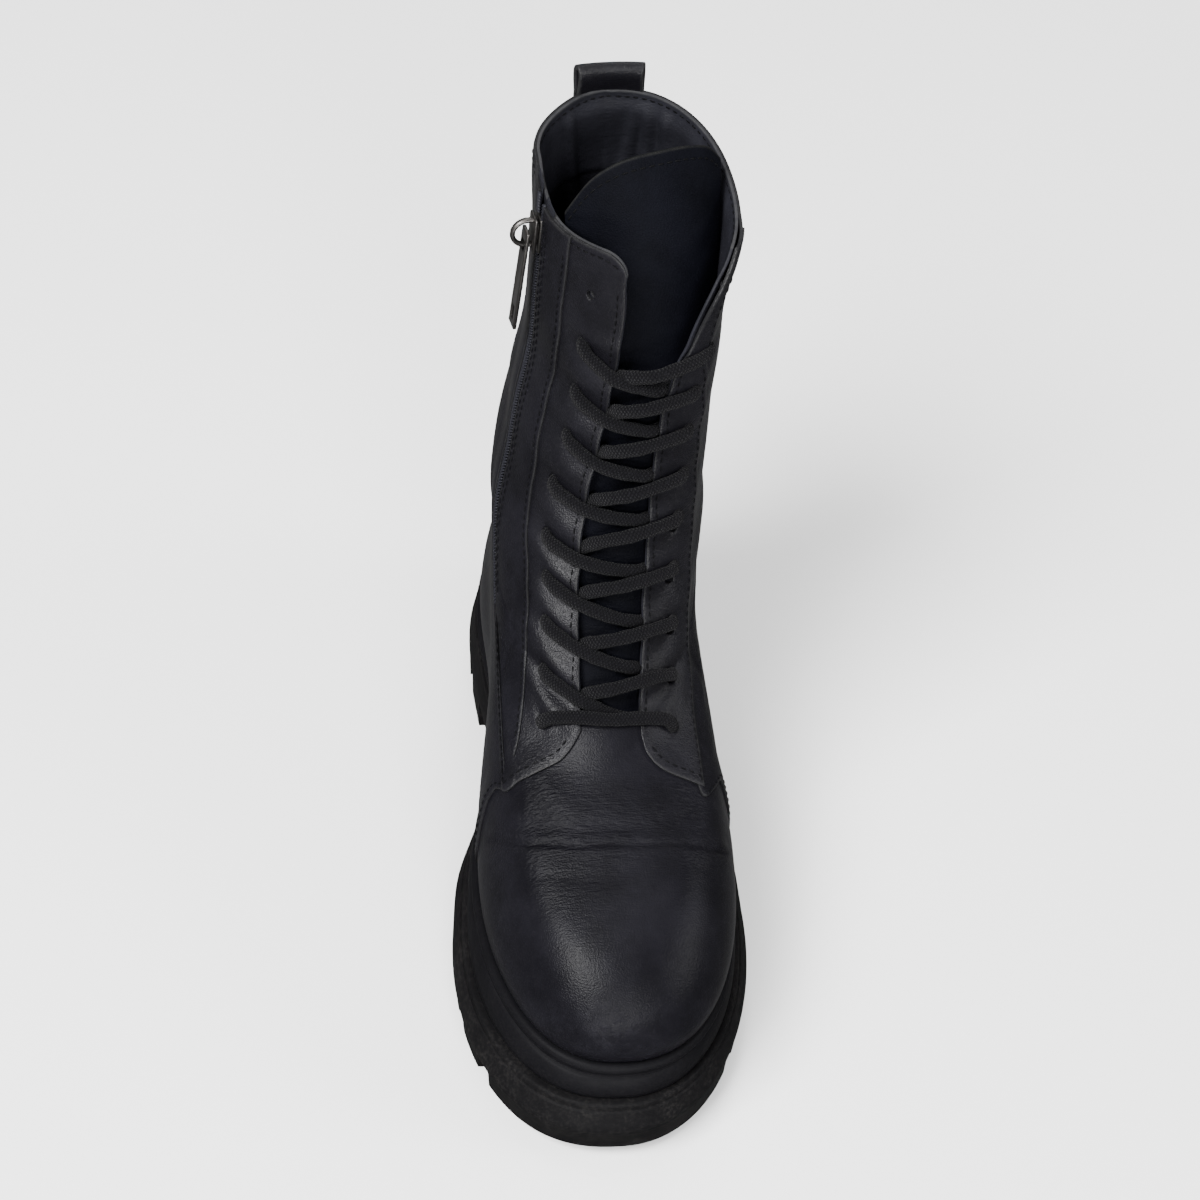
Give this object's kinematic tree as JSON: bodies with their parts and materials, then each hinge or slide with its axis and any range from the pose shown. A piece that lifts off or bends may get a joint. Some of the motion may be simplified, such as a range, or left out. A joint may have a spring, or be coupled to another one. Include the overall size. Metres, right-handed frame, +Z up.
{
  "type": "mid-calf lace-up boot with side zip",
  "caption": "Black leather mid-calf combat boot, left foot, with a chunky lugged sole, a laced front, a medial side zip and a pull loop at the back of the collar.",
  "frame": {"origin": "on the floor, under the middle of the boot's bounding box", "axes": "-Y to the toe, +X to the wearer's left (the lateral side), +Z up"},
  "size_m": [0.1171, 0.296, 0.3036],
  "materials": {
    "tread_rubber": "matt moulded rubber",
    "midsole_rubber": "soft satin moulded rubber",
    "lining_fabric": "dark textile lining",
    "black_leather": "smooth black leather with a soft sheen",
    "tongue_leather": "thin black leather",
    "lace_yarn": "round braided lace",
    "zip_plastic": "fine nylon coil on woven tape",
    "nickel": "polished nickel plate"
  },
  "bodies": {
    "boot": {"outsole": "tread_rubber", "midsole": "midsole_rubber", "welt": "midsole_rubber", "insole": "lining_fabric", "upper": "black_leather", "tongue": "tongue_leather", "pull_loop": "black_leather", "lace_bar": "lace_yarn", "lace_crossing_1": "lace_yarn", "lace_crossing_2": "lace_yarn", "lace_crossing_3": "lace_yarn", "lace_crossing_4": "lace_yarn", "lace_crossing_5": "lace_yarn", "lace_crossing_6": "lace_yarn", "lace_crossing_7": "lace_yarn", "lace_crossing_8": "lace_yarn", "zip_coil": "zip_plastic", "zip_slider": "nickel"},
    "pull": {"zip_pull": "nickel"}
  },
  "joints": [
    {"name": "zip_pull_hinge", "type": "hinge", "parent": "boot", "child": "pull", "pos_m": [-0.02398, 0.08066, 0.26365], "axis": [-0.1625, 0.983, -0.0853], "range_deg": [0, 160]}
  ]
}
